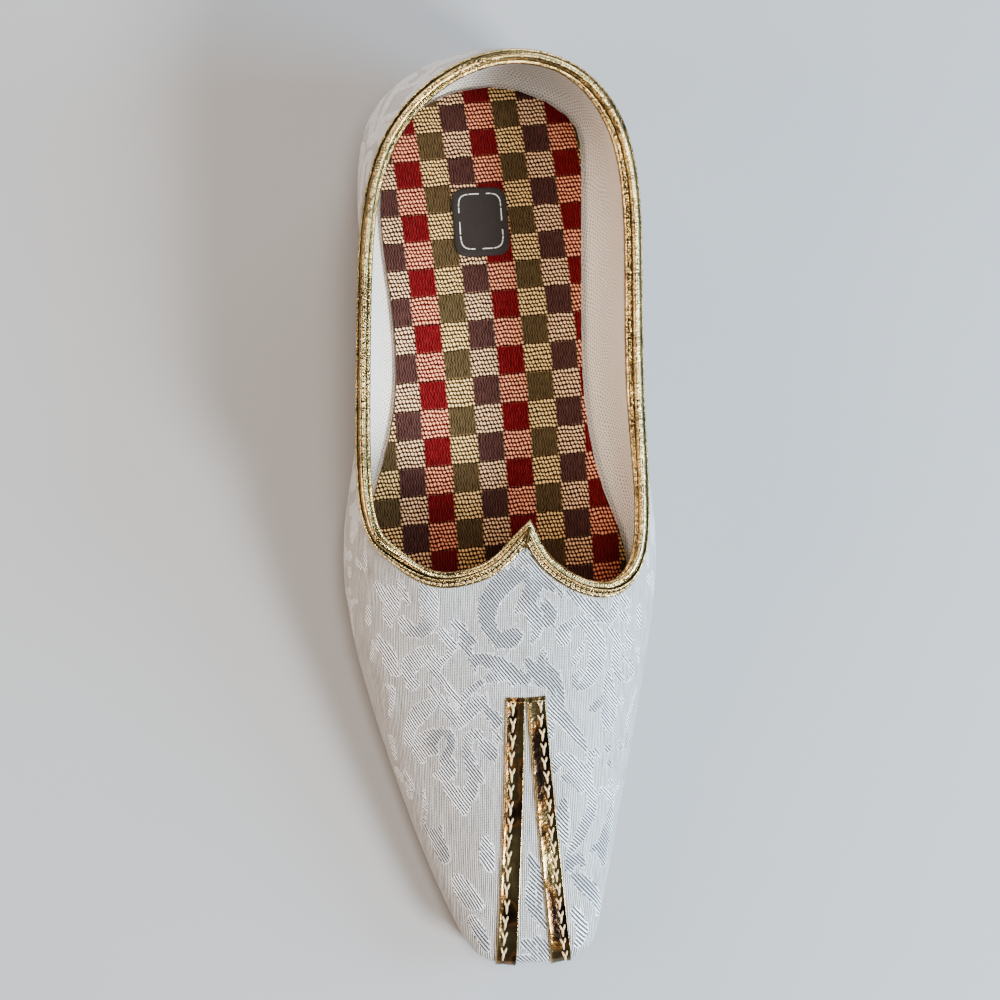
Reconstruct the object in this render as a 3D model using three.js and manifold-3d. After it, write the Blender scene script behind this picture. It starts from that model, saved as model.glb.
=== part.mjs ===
// A mojari: a right shoe of stiff brocade on a flat leather sole with a low heel.
// Millimetres, +Z up. The toe points to -Y, the heel to +Y, and +X is the medial side.
// The upper is one hollow shell: a ring of profiles rises from the feather edge, where it
// is sewn to the sole, over the widest line, to the topline round the foot opening.
import * as THREE from 'three';
import Module from 'manifold-3d';
import { mergeVertices } from 'three/addons/utils/BufferGeometryUtils.js';

const wasm = await Module();
wasm.setup();

// Driving dimensions
const toeEnd = -130; // half of the 260 mm length to each side of the middle
const heelEnd = 130;
const soleThickness = 4;
const toeSpring = 6; // rise of the tread at the toe
const springStart = -72; // where the tread leaves the floor in front
const archStart = -14; // where it leaves the floor behind the ball
const seatStart = 78; // where the arch meets the level heel seat
const heelHeight = 9; // block under the seat
const breastStation = 10.5; // section at the front face of the heel
const insoleThickness = 2.5;
const wall = 2; // thickness of the upper
const gap = 0.3; // clearance between pieces that meet
const soleMargin = 1.2; // sole edge outside the feather edge
const heelInset = 0.6; // heel block inside the sole edge
const pipingHeight = 1.7;
const pipingGap = 0.45; // a little wider than the other gaps, for the throat's tight bends
const pipingProud = 0.7; // piping outside each face of the wall
const stripThickness = 0.9;
const stripWidth = 5.1;
const stripFoot = 13; // height at which a toe strip ends on the toe wall

// The two toe strips: centre line from its square top end to the toe
const stripTop = -58;
const strips = [
  { name: 'toe_strip_lateral', topX: -2.3, toeX: -7.1, bow: 1.6 },
  { name: 'toe_strip_medial', topX: 3.3, toeX: 9.5, bow: -2.2 },
];

// One row for each section from toe to heel; a pair holds [lateral, medial].
// y: place of the section on the widest line, and half: that line's distance from the axis.
// tuck: how far the feather edge lies inside it. bulge: its height over the sole.
// lean and rise: outward and upward reach of the profile as it leaves the widest line.
// back and drop: how it arrives at the topline, as a share of the way back and a fall.
const toe = { x: 0.7, y: toeEnd, tuck: 2.4, bulge: 3, lean: 0, rise: 7.5, back: 0.45, drop: 15.5 };
toe.top = [2.1, -14.6, 48];
const heel = { x: 0, y: heelEnd, tuck: 4, bulge: 12, lean: 0, rise: 16, back: 0.33, drop: 14 };
heel.top = [3, 117.2, 60.8];
const sections = [
  { y: -129.6, half: [9.0, 11.0], tuck: [2.4, 2.4], bulge: 3, lean: [0, 0], rise: 7.5,
    back: 0.45, drop: 15, top: [[-0.2, -16.7, 47.0], [3.6, -17.8, 46.8]] },
  { y: -126, half: [15.4, 17.6], tuck: [2.4, 2.4], bulge: 3.3, lean: [0, 0], rise: 7.5,
    back: 0.45, drop: 14, top: [[-3.0, -19.6, 46.0], [6.0, -21.6, 45.7]] },
  { y: -117.5, half: [20.2, 20.8], tuck: [2.6, 2.6], bulge: 4, lean: [0, 0], rise: 8,
    back: 0.44, drop: 12.5, top: [[-6.8, -22.8, 45.0], [9.6, -25.1, 44.8]] },
  { y: -100, half: [27.4, 25.2], tuck: [3, 3], bulge: 6, lean: [0, 0], rise: 10,
    back: 0.42, drop: 10.5, top: [[-12.0, -25.1, 44.0], [14.4, -28.2, 43.8]] },
  { y: -71, half: [37.0, 31.8], tuck: [3.5, 3.4], bulge: 9, lean: [0, 0], rise: 12,
    back: 0.4, drop: 8, top: [[-19.5, -26.3, 43.0], [20.6, -30.3, 42.9]] },
  { y: -40, half: [45.2, 38.4], tuck: [4, 3.6], bulge: 12, lean: [0, 0], rise: 14,
    back: 0.38, drop: 7, top: [[-27.5, -24.3, 42.5], [27.5, -29.5, 42.5]] },
  { y: -15, half: [47.8, 41.2], tuck: [4, 4.5], bulge: 13, lean: [0, 0], rise: 15,
    back: 0.36, drop: 8, top: [[-36.0, -18.5, 42.8], [33.2, -23.0, 42.8]] },
  { y: 6, half: [44.8, 39.3], tuck: [5, 8.5], bulge: 14, lean: [0, 0.5], rise: 14,
    back: 0.34, drop: 10, top: [[-42.3, -7.0, 43.8], [35.4, -7.5, 44.0]] },
  { y: 30, half: [40.4, 34.6], tuck: [7.2, 8], bulge: 15, lean: [2, 1.5], rise: 12,
    back: 0.33, drop: 11, top: [[-42.3, 25, 46.0], [35.3, 22, 46.2]] },
  { y: 56, half: [38.9, 33.9], tuck: [6, 7.2], bulge: 15, lean: [2, 2], rise: 12,
    back: 0.33, drop: 12, top: [[-40.9, 54, 47.8], [36.2, 53, 48.8]] },
  { y: 80, half: [40.1, 35.2], tuck: [5, 7.4], bulge: 14, lean: [0, 1.5], rise: 14,
    back: 0.33, drop: 13, top: [[-38.2, 79.5, 50.8], [36.4, 79, 52.4]] },
  { y: 102, half: [38.8, 35.0], tuck: [5, 6.2], bulge: 13, lean: [0, 0], rise: 15,
    back: 0.33, drop: 14, top: [[-30.2, 99, 55.0], [32.2, 98.5, 56.8]] },
  { y: 119.5, half: [28.6, 27.5], tuck: [4.4, 4.6], bulge: 12, lean: [0, 0], rise: 16,
    back: 0.33, drop: 14, top: [[-15.5, 112, 59.0], [20.8, 112.3, 59.6]] },
];
const stationCount = 2 * sections.length + 2; // all round: toe, lateral, heel, medial
const columnsPerStation = 3;
const columns = stationCount * columnsPerStation;
const ringsBelow = [0, 0.35, 0.7, 1]; // feather edge to widest line
const ringsAbove = [0.05, 0.11, 0.18, 0.27, 0.38, 0.5, 0.62, 0.74, 0.87, 1]; // on to the topline
const footOutward = 0.55; // the profile's first control point: share of the way out
const footUpward = 0.2; // and share of the height of the widest line
const sideLift = 0.45; // how straight the profile stands below the widest line
const smoothingPasses = 60;

// Tread: level under the ball, sprung at the toe, arched up to the heel seat
function treadHeight(y) {
  const spring = Math.max(0, (springStart - y) / (springStart - toeEnd));
  return toeSpring * spring ** 1.8 + heelHeight * THREE.MathUtils.smoothstep(y, archStart, seatStart);
}

const soleTop = (y) => treadHeight(y) + soleThickness;

// A smooth curve through one number per station, all round the shoe. An open curve has
// a corner at the toe, where its two ends meet.
function ringCurve(values, open = false) {
  const points = open ? [...values, values[0]] : values;
  const count = points.length;
  const at = (list, i) => list[(i + count) % count];
  const slopes = points.map(() => 0);
  for (let pass = 0; pass < smoothingPasses; pass += 1) {
    for (let i = 0; i < count; i += 1) {
      const chord = at(points, i + 1) - at(points, i - 1);
      if (open && i === 0) {
        slopes[i] = 1.5 * (points[1] - points[0]) - slopes[1] / 2;
      } else if (open && i === count - 1) {
        slopes[i] = 1.5 * (points[i] - points[i - 1]) - slopes[i - 1] / 2;
      } else {
        slopes[i] = (3 * chord - at(slopes, i + 1) - at(slopes, i - 1)) / 4;
      }
    }
  }
  return (station) => {
    const place = ((station % stationCount) + stationCount) % stationCount;
    const i = Math.floor(place);
    const t = place - i;
    const start = at(points, i);
    const step = at(points, i + 1) - start;
    const leave = at(slopes, i);
    const arrive = at(slopes, i + 1);
    const square = 3 * step - 2 * leave - arrive;
    const cube = leave + arrive - 2 * step;
    return start + t * (leave + t * (square + t * cube));
  };
}

// The rows in order round the shoe, each with the value that pick gives for its side
function aroundShoe(pick, toeValue, heelValue) {
  const lateral = sections.map((row) => pick(row, 0));
  const medial = sections.map((row) => pick(row, 1)).reverse();
  return [toeValue, ...lateral, heelValue, ...medial];
}

const shared = (key) => ringCurve(aroundShoe((row) => row[key], toe[key], heel[key]));
const paired = (key) => ringCurve(aroundShoe((row, side) => row[key][side], toe[key], heel[key]));
const topAxis = (axis) => {
  const values = aroundShoe((row, side) => row.top[side][axis], toe.top[axis], heel.top[axis]);
  return ringCurve(values, true);
};

const widest = {
  x: ringCurve(aroundShoe((row, side) => (side ? row.half[1] : -row.half[0]), toe.x, heel.x)),
  y: shared('y'),
};
const profile = {
  tuck: paired('tuck'),
  lean: paired('lean'),
  bulge: shared('bulge'),
  rise: shared('rise'),
  back: shared('back'),
  drop: shared('drop'),
};
const topline = [topAxis(0), topAxis(1), topAxis(2)];

const widestPoint = (s) => new THREE.Vector3(widest.x(s), widest.y(s), 0);
const toplinePoint = (s) => new THREE.Vector3(...topline.map((axis) => axis(s)));

// Direction of a ring at a station, from the points one reach before and after it
function alongRing(curve, s, reach = 0.02) {
  return curve(s + reach).sub(curve(s - reach)).normalize();
}

// Level direction pointing out of the shoe at a station
function outward(s) {
  const along = alongRing(widestPoint, s);
  return new THREE.Vector3(-along.y, along.x, 0);
}

// Plan point at a distance inside the feather edge, or outside it where inset is negative
function featherPoint(s, inset = 0) {
  return widestPoint(s).addScaledVector(outward(s), -profile.tuck(s) - inset);
}

// The seven control points of a profile: feather edge to widest line, then to the topline.
// depth moves the whole profile into the shoe, or out of it where it is negative.
// face points out of the wall at the topline, and turns smoothly past the throat peak.
function profileControls(s, depth) {
  const up = new THREE.Vector3(0, 0, 1);
  const out = outward(s);
  const feather = featherPoint(s, depth);
  feather.z = soleTop(feather.y) + gap;
  const side = widestPoint(s).addScaledVector(out, -depth);
  side.z = soleTop(side.y) + profile.bulge(s);
  const leaning = up.clone().addScaledVector(out, profile.lean(s) / profile.rise(s));
  const height = side.z - feather.z;
  const footOut = feather.clone().lerp(side, footOutward);
  footOut.z = feather.z + footUpward * height;
  const sideUnder = side.clone().addScaledVector(leaning, -sideLift * height);
  const sideOver = side.clone().addScaledVector(leaning, profile.rise(s) - depth);
  const edge = toplinePoint(s);
  const edgeUnder = edge.clone().lerp(widestPoint(s).setZ(edge.z), profile.back(s));
  edgeUnder.z -= profile.drop(s);
  const face = edge.clone().sub(edgeUnder).cross(alongRing(toplinePoint, s, 1)).normalize();
  edge.addScaledVector(face, -depth);
  edgeUnder.addScaledVector(face, -depth);
  return { foot: [feather, footOut, sideUnder, side], vamp: [side, sideOver, edgeUnder, edge], face };
}

function ringsOf(s, depth) {
  const { foot, vamp } = profileControls(s, depth);
  const below = new THREE.CubicBezierCurve3(...foot);
  const above = new THREE.CubicBezierCurve3(...vamp);
  return [...ringsBelow.map((t) => below.getPoint(t)), ...ringsAbove.map((t) => above.getPoint(t))];
}

const columnList = Array.from({ length: columns }, (_, i) => i / columnsPerStation);

// Triangles gathered as they are drawn, then welded into one closed body
class Sheets {
  constructor() {
    this.positions = [];
  }

  triangle(a, b, c) {
    for (const p of [a, b, c]) this.positions.push(p.x, p.y, p.z);
  }

  quad(a, b, c, d) {
    this.triangle(a, b, c);
    this.triangle(a, c, d);
  }

  // Quads between neighbouring rows of points; closed rows join their last point to the first
  band(rows, closed) {
    for (let i = 0; i + 1 < rows.length; i += 1) {
      const count = rows[i].length;
      for (let j = 0; j < (closed ? count : count - 1); j += 1) {
        const k = (j + 1) % count;
        this.quad(rows[i][j], rows[i][k], rows[i + 1][k], rows[i + 1][j]);
      }
    }
  }

  body() {
    const loose = new THREE.BufferGeometry();
    loose.setAttribute('position', new THREE.Float32BufferAttribute(this.positions, 3));
    const geometry = mergeVertices(loose, 1e-4);
    const corners = [...geometry.index.array];
    const kept = [];
    for (let i = 0; i < corners.length; i += 3) {
      const [a, b, c] = corners.slice(i, i + 3);
      if (a !== b && b !== c && c !== a) kept.push(a, b, c);
    }
    geometry.setIndex(kept);
    return geometry;
  }
}

const transpose = (rows) => rows[0].map((_, j) => rows.map((row) => row[j]));

// The hollow upper: outer face, inner face, and the rims at the sole and the topline
function upperShell() {
  const sheets = new Sheets();
  const outer = transpose(columnList.map((s) => ringsOf(s, 0)));
  const inner = transpose(columnList.map((s) => ringsOf(s, wall)));
  sheets.band([inner.at(-1), ...outer.reverse(), inner[0]], true);
  sheets.band(inner, true);
  return sheets.body();
}

// The same form filled and grown by a clearance, to cut overlays from
function filledForm(growth) {
  const sheets = new Sheets();
  const rings = transpose(columnList.map((s) => ringsOf(s, -growth)));
  const sumOf = (ring) => ring.reduce((sum, p) => sum.add(p), new THREE.Vector3());
  const capRow = (ring) => ring.map(() => sumOf(ring).divideScalar(ring.length));
  const capped = [capRow(rings[0]), ...rings, capRow(rings.at(-1))];
  sheets.band(capped.reverse(), true);
  return asSolid(sheets.body());
}

function asSolid(geometry) {
  const vertProperties = Float32Array.from(geometry.attributes.position.array);
  const triVerts = Uint32Array.from(geometry.index.array);
  return new wasm.Manifold(new wasm.Mesh({ numProp: 3, vertProperties, triVerts }));
}

function asGeometry(solid) {
  const mesh = solid.getMesh();
  const geometry = new THREE.BufferGeometry();
  geometry.setAttribute('position', new THREE.BufferAttribute(mesh.vertProperties, 3));
  geometry.setIndex([...mesh.triVerts]);
  return geometry;
}

// A layer under the foot: rungs across the shoe between two heights
function layer(inset, firstStation, low, high) {
  const rungSteps = 4;
  const lastStation = stationCount / 2;
  const count = Math.round((lastStation - firstStation) * columnsPerStation);
  const rungs = Array.from({ length: count + 1 }, (_, i) => {
    const s = firstStation + ((lastStation - firstStation) * i) / count;
    const from = featherPoint(s, inset);
    const to = i === count || s === 0 ? from.clone() : featherPoint(stationCount - s, inset);
    return Array.from({ length: rungSteps + 1 }, (_step, j) => from.clone().lerp(to, j / rungSteps));
  });
  const lift = (rows, height) => rows.map((row) => row.map((p) => p.clone().setZ(height(p.y))));
  const top = lift(rungs, high);
  const bottom = lift(rungs, low);
  const sheets = new Sheets();
  sheets.band(top, false);
  sheets.band(bottom.slice().reverse(), false);
  sheets.band([bottom[0], top[0]], false);
  sheets.band([top.at(-1), bottom.at(-1)], false);
  sheets.band(transpose([bottom.map((row) => row[0]), top.map((row) => row[0])]), false);
  sheets.band(transpose([top.map((row) => row.at(-1)), bottom.map((row) => row.at(-1))]), false);
  return sheets.body();
}

// Piping that rides on the topline, mitred at the throat peak
function pipingRing() {
  const peakReach = 0.1; // the peak's own sides are read this far from it
  const rows = columnList.map((s) => {
    const { face } = profileControls(s, 0);
    const edge = toplinePoint(s);
    const climb = alongRing(toplinePoint, s).cross(face).normalize();
    const beside = alongRing(toplinePoint, s + peakReach).cross(face).normalize();
    const mitre = s === 0 ? 1 / climb.dot(beside) : 1;
    const corner = (across, height) => {
      const point = edge.clone().addScaledVector(face, across);
      return point.addScaledVector(climb, height * mitre);
    };
    return [
      corner(pipingProud, pipingGap),
      corner(pipingProud, pipingGap + pipingHeight),
      corner(-wall - pipingProud, pipingGap + pipingHeight),
      corner(-wall - pipingProud, pipingGap),
    ];
  });
  const sheets = new Sheets();
  const loops = transpose(rows).reverse();
  sheets.band([...loops, loops[0]], true);
  return sheets.body();
}

// A folded strip laid down the toe, between two grown copies of the upper's form
function toeStrip({ topX, toeX, bow }, shell) {
  const steps = 8;
  const reach = 6; // beyond the toe, so that the strip turns down over its edge
  const left = [];
  const right = [];
  for (let i = 0; i <= steps; i += 1) {
    const t = i / steps;
    const x = topX + (toeX - topX) * t + bow * t * (1 - t);
    const y = stripTop + (toeEnd - reach - stripTop) * t;
    left.push(new THREE.Vector2(x - stripWidth / 2, y));
    right.unshift(new THREE.Vector2(x + stripWidth / 2, y));
  }
  const block = new THREE.ExtrudeGeometry(new THREE.Shape([...left, ...right]), {
    depth: heelEnd,
    bevelEnabled: false,
  });
  block.translate(0, 0, stripFoot);
  block.deleteAttribute('normal');
  block.deleteAttribute('uv');
  return asGeometry(asSolid(mergeVertices(block)).intersect(shell));
}

const shoe = new THREE.Group();

function addPart(name, geometry, look) {
  geometry.computeVertexNormals();
  const mesh = new THREE.Mesh(geometry, new THREE.MeshStandardMaterial(look));
  mesh.name = name;
  shoe.add(mesh);
}

const leather = { color: 0x9b6b43, roughness: 0.62, metalness: 0 };
const gold = { color: 0xc9a254, roughness: 0.25, metalness: 0.9 };

const weave = { color: 0x7c4a3a, roughness: 0.9, metalness: 0 };
const brocade = { color: 0xdcd8d2, roughness: 0.55, metalness: 0 };

const floor = () => 0;
const underSole = (y) => treadHeight(y) - gap;
const onSole = (y) => soleTop(y) + gap;
const insoleTop = (y) => onSole(y) + insoleThickness;

addPart('outsole', layer(-soleMargin, 0, treadHeight, soleTop), leather);
addPart('heel_lift', layer(heelInset - soleMargin, breastStation, floor, underSole), leather);
addPart('insole', layer(wall + gap, 0, onSole, insoleTop), weave);
addPart('upper', upperShell(), brocade);
addPart('collar_piping', pipingRing(), gold);

const stripShell = filledForm(gap + stripThickness).subtract(filledForm(gap));
for (const strip of strips) addPart(strip.name, toeStrip(strip, stripShell), gold);

// The origin stands on the floor under the middle of the shoe
const bounds = new THREE.Box3().setFromObject(shoe);
const middle = bounds.getCenter(new THREE.Vector3());
shoe.position.set(-middle.x, -middle.y, -bounds.min.z);

export default shoe;
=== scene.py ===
import math
import bmesh
import bpy
import numpy as np
from mathutils import Matrix, Vector
from mathutils.bvhtree import BVHTree
from mathutils.interpolate import poly_3d_calc
from mathutils.noise import noise as cloudAt


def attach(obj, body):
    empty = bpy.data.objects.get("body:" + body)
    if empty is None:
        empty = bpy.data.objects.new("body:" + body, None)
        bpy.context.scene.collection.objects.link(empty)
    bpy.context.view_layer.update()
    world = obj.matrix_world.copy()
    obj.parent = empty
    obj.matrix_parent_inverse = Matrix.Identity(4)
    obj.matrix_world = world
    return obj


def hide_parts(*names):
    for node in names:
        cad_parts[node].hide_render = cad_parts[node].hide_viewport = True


# A right mojari: brocade upper on a thin leather sole, gold collar and toe strips, check insole.
# Toe towards -Y, medial side towards +X, everything in metres.
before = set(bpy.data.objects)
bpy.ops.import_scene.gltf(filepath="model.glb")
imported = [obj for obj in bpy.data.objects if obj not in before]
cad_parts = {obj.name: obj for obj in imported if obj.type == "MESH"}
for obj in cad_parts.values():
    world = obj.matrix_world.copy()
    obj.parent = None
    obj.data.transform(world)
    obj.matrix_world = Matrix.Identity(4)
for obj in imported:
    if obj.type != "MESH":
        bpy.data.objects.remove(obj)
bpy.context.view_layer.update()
mm = 0.001


# small tools for the workshop

def deselectAll():
    if bpy.context.object and bpy.context.object.mode != "OBJECT":
        bpy.ops.object.mode_set(mode="OBJECT")
    bpy.ops.object.select_all(action="DESELECT")


def makeActive(piece):
    deselectAll()
    piece.select_set(True)
    bpy.context.view_layer.objects.active = piece


def editAll(piece, selectMode="VERT"):
    makeActive(piece)
    bpy.ops.object.mode_set(mode="EDIT")
    bpy.ops.mesh.select_mode(type=selectMode)
    bpy.ops.mesh.select_all(action="SELECT")


def leaveEdit():
    bpy.ops.object.mode_set(mode="OBJECT")


def copyOfNode(node, name):
    makeActive(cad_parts[node])
    bpy.ops.object.duplicate()
    piece = bpy.context.object
    piece.name = name
    piece.data.name = name
    piece.parent = None
    for key in list(piece.keys()):
        del piece[key]
    piece.data.materials.clear()
    editAll(piece)
    bpy.ops.mesh.remove_doubles(threshold=0.01 * mm)
    leaveEdit()
    return piece


def applyModifier(piece, kind, **settings):
    makeActive(piece)
    modifier = piece.modifiers.new(kind.lower(), kind)
    for key, value in settings.items():
        setattr(modifier, key, value)
    bpy.ops.object.modifier_apply(modifier=modifier.name)


def subdivide(piece, levels):
    applyModifier(piece, "SUBSURF", levels=levels, render_levels=levels)


def roundEdges(piece, width):
    applyModifier(piece, "BEVEL", width=width * mm, segments=3, limit_method="ANGLE",
                  angle_limit=math.radians(50))


def meshOf(name, points, faces):
    mesh = bpy.data.meshes.new(name)
    mesh.from_pydata([tuple(p) for p in points], [], faces)
    piece = bpy.data.objects.new(name, mesh)
    bpy.context.scene.collection.objects.link(piece)
    return piece


def treeOf(piece):
    return BVHTree.FromObject(piece, bpy.context.evaluated_depsgraph_get())


def plumb(tree, x, y):
    # place, normal and face where a plumb line at x and y millimetres meets the surface
    return tree.ray_cast(Vector((x * mm, y * mm, 0.1)), Vector((0, 0, -1)))[:3]


def nearest(tree, spot):
    return tree.find_nearest(spot)[:2]


def netOf(name, rows, wrapAround=False):
    # quads between neighbouring rows; wrapAround joins each row's ends
    width = len(rows[0])
    faces = []
    for i in range(len(rows) - 1):
        for j in range(width if wrapAround else width - 1):
            a, b = i * width + j, i * width + (j + 1) % width
            faces.append((a, b, b + width, a + width))
    return meshOf(name, [p for row in rows for p in row], faces)


def finishPiece(piece, material, slotName, *replaced):
    piece.data.materials.clear()
    piece.data.materials.append(material)
    makeActive(piece)
    bpy.ops.object.shade_smooth()
    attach(piece, "root")
    if replaced:
        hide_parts(*replaced)
    return piece


# shader maths, written as sums on sockets

class Wire:
    def __init__(self, finish, socket):
        self.finish = finish
        self.socket = socket

    def maths(self, operation, *others):
        values = {i: value for i, value in enumerate((self,) + others)}
        return self.finish.node("ShaderNodeMath", {"operation": operation}, values)

    def __add__(self, other):
        return self.maths("ADD", other)

    def __sub__(self, other):
        return self.maths("SUBTRACT", other)

    def __rsub__(self, other):
        values = {0: other, 1: self}
        return self.finish.node("ShaderNodeMath", {"operation": "SUBTRACT"}, values)

    def __mul__(self, other):
        return self.maths("MULTIPLY", other)

    __radd__, __rmul__ = __add__, __mul__

    def __truediv__(self, other):
        return self.maths("DIVIDE", other)

    def __mod__(self, other):
        return self.maths("FLOORED_MODULO", other)

    def floor(self):
        return self.maths("FLOOR")

    def fraction(self):
        return self.maths("FRACT")

    def size(self):
        return self.maths("ABSOLUTE")

    def sine(self):
        return self.maths("SINE")

    def most(self, other):
        return self.maths("MAXIMUM", other)

    def wave(self, pitch, shift=0.0):
        # 0 to 1 to 0 once each pitch
        return (self * (2 * math.pi / pitch) + shift).sine() * 0.5 + 0.5

    def ease(self, low, high):
        # 0 below low, 1 above high, smooth between
        values = {"Value": self, "From Min": low, "From Max": high}
        return self.finish.node("ShaderNodeMapRange", {"interpolation_type": "SMOOTHSTEP"}, values)


class Finish:
    def __init__(self, name, **fixed):
        self.material = bpy.data.materials.new(name)
        self.material.use_nodes = True
        self.tree = self.material.node_tree
        self.shader = self.tree.nodes["Principled BSDF"]
        for key, value in fixed.items():
            self.shader.inputs[key.replace("_", " ")].default_value = value

    def node(self, kind, settings=None, values=None, out=0):
        made = self.tree.nodes.new(kind)
        for key, value in (settings or {}).items():
            if key == "stops":
                ramp = made.color_ramp
                while len(ramp.elements) < len(value):
                    ramp.elements.new(0.5)
                for element, (place, colour) in zip(ramp.elements, value):
                    element.position = place
                    element.color = (*colour, 1)
            else:
                setattr(made, key, value)
        for key, value in (values or {}).items():
            if isinstance(value, Wire):
                self.tree.links.new(value.socket, made.inputs[key])
            else:
                made.inputs[key].default_value = value
        return Wire(self, made.outputs[out])

    def place(self):
        # the piece's own coordinates in millimetres, as x, y and z
        spot = self.node("ShaderNodeTexCoord", out="Object")
        parts = [self.node("ShaderNodeSeparateXYZ", None, {0: spot}, out=axis) for axis in "XYZ"]
        return [part * 1000 for part in parts]

    def cloth(self, name="cloth"):
        # the piece's own flat coordinates in millimetres
        spot = self.node("ShaderNodeUVMap", {"uv_map": name})
        parts = [self.node("ShaderNodeSeparateXYZ", None, {0: spot}, out=axis) for axis in "XY"]
        return [part * 1000 for part in parts]

    def vector(self, x, y, z=0.0):
        return self.node("ShaderNodeCombineXYZ", None, {0: x, 1: y, 2: z})

    def clouds(self, spot, scale, detail=2.0, rough=0.5):
        values = {"Vector": spot, "Scale": scale, "Detail": detail, "Roughness": rough}
        return self.node("ShaderNodeTexNoise", None, values)

    def attribute(self, name):
        return self.node("ShaderNodeAttribute", {"attribute_name": name}, out="Fac")

    def mix(self, share, first, second, blend="MIX"):
        settings = {"data_type": "RGBA", "blend_type": blend}
        values = {0: share, 6: colourOf(first), 7: colourOf(second)}
        return self.node("ShaderNodeMix", settings, values, out=2)

    def tinted(self, share, colour, tint):
        return self.mix(share, colour, self.mix(1.0, colour, tint, "MULTIPLY"))

    def ramp(self, share, stops):
        return self.node("ShaderNodeValToRGB", {"stops": stops}, {0: share})

    def into(self, socket, wire):
        self.tree.links.new(wire.socket, self.shader.inputs[socket])

    def relief(self, height, depth, strength=1.0):
        values = {"Height": height, "Distance": depth, "Strength": strength}
        self.into("Normal", self.node("ShaderNodeBump", None, values))


def colourOf(value):
    return value if isinstance(value, Wire) else (*value, 1)


def tubeAlong(points, radius, sides=6):
    # a thread of round section along the points, as rows for a net
    rows = []
    for i, p in enumerate(points):
        ahead = (points[min(i + 1, len(points) - 1)] - points[max(i - 1, 0)]).normalized()
        first = ahead.cross(Vector((0.13, 0.21, 1))).normalized()
        second = ahead.cross(first)
        size = radius(i) if callable(radius) else radius
        rows.append([p + (first * math.cos(a) + second * math.sin(a)) * size * mm
                     for a in (2 * math.pi * k / sides for k in range(sides))])
    return rows


def joined(name, tubes):
    # many small threads as one mesh, each closed at both ends
    points, faces = [], []
    for rows in tubes:
        start, width = len(points), len(rows[0])
        end = start + (len(rows) - 1) * width
        points += [p for row in rows for p in row]
        for low in range(start, end, width):
            for j in range(width):
                a, b = low + j, low + (j + 1) % width
                faces.append((b, a, a + width, b + width))
        faces.append(tuple(range(start, start + width)))
        faces.append(tuple(reversed(range(end, end + width))))
    piece = meshOf(name, points, faces)
    editAll(piece)
    bpy.ops.mesh.normals_make_consistent(inside=False)
    leaveEdit()
    return piece


def threadFinish(name, light, dark):
    thread = Finish(name, Metallic=0.35, Sheen_Weight=0.3)
    x, y, z = thread.place()
    strands = thread.clouds(thread.vector(x, y, z), 4.0, 2.0)
    thread.into("Base Color", thread.mix(strands, dark, light))
    thread.into("Roughness", 0.34 + strands * 0.2)
    thread.relief(strands, 0.0001, 0.5)
    return thread.material


# camera, floor and light

view = {
    "place": (-0.0535, -0.0958, 0.610),
    "aim": (0.0005, -0.0005, 0.022),
    "up": (0.047, 0.999, 0),
    "lens": 76.0,
}


def setCamera():
    bpy.ops.object.camera_add(location=view["place"])
    camera = bpy.context.object
    ahead = (Vector(view["aim"]) - Vector(view["place"])).normalized()
    right = ahead.cross(Vector(view["up"])).normalized()
    camera.rotation_euler = Matrix((right, right.cross(ahead), -ahead)).transposed().to_euler()
    camera.data.lens = view["lens"]
    camera.data.clip_start = 0.01
    bpy.context.scene.camera = camera


studio = {
    "floor": (0.20, 0.20, 0.203),
    "world": ((0.86, 0.92, 1.0), 0.20),
    "lamps": [  # place, width, power, colour
        ((0.84, -0.8, 0.8), 0.36, 84.0, (0.86, 0.94, 1.0)),
        ((0.04, -0.08, 1.15), 0.3, 17.0, (1.0, 0.93, 0.84)),
        ((0.9, -0.1, 0.42), 0.4, 34.0, (0.34, 0.69, 1.0)),
        ((-0.85, -0.15, 0.5), 0.4, 13.0, (1.0, 0.68, 0.44)),
        ((-0.7, 0.9, 0.3), 0.5, 13.0, (1.0, 0.96, 0.91)),
        ((0.55, 0.95, 0.3), 0.5, 12.0, (0.93, 0.97, 1.0)),
    ],
}


def setStudio():
    bpy.ops.mesh.primitive_plane_add(size=8)
    floor = bpy.context.object
    floor.name = "floor"
    paint = Finish("paleFloor", Roughness=0.85)
    x, y, z = paint.place()
    grain = paint.clouds(paint.vector(x, y), 0.02)
    paint.into("Base Color", paint.mix(grain, studio["floor"], [c * 0.97 for c in studio["floor"]]))
    floor.data.materials.append(paint.material)
    for place, width, power, colour in studio["lamps"]:
        turn = (Vector((0, 0, 0.02)) - Vector(place)).to_track_quat("-Z", "Y").to_euler()
        bpy.ops.object.light_add(type="AREA", location=place, rotation=turn)
        lamp = bpy.context.object.data
        lamp.energy, lamp.size, lamp.color = power, width, colour
    world = bpy.data.worlds.new("studio")
    bpy.context.scene.world = world
    world.use_nodes = True
    back = world.node_tree.nodes["Background"]
    back.inputs["Color"].default_value = (*studio["world"][0], 1)
    back.inputs["Strength"].default_value = studio["world"][1]


setCamera()
setStudio()
print("camera, floor and lamps set")


# the upper's net: the wall is a closed net of rings, walked straight across each crossing

def neighboursOf(vert):
    first = vert.link_loops[0]
    found, loop = [], first
    while True:
        found.append(loop.edge.other_vert(vert))
        loop = loop.link_loop_prev.link_loop_radial_next
        if loop == first:
            return found


def walk(vert, following, steps=None):
    path = [vert, following]
    while len(path) != steps:
        around = neighboursOf(path[-1])
        ahead = around[(around.index(path[-2]) + 3) % 6]
        if steps is None and ahead == vert:
            break
        path.append(ahead)
    return path


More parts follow.
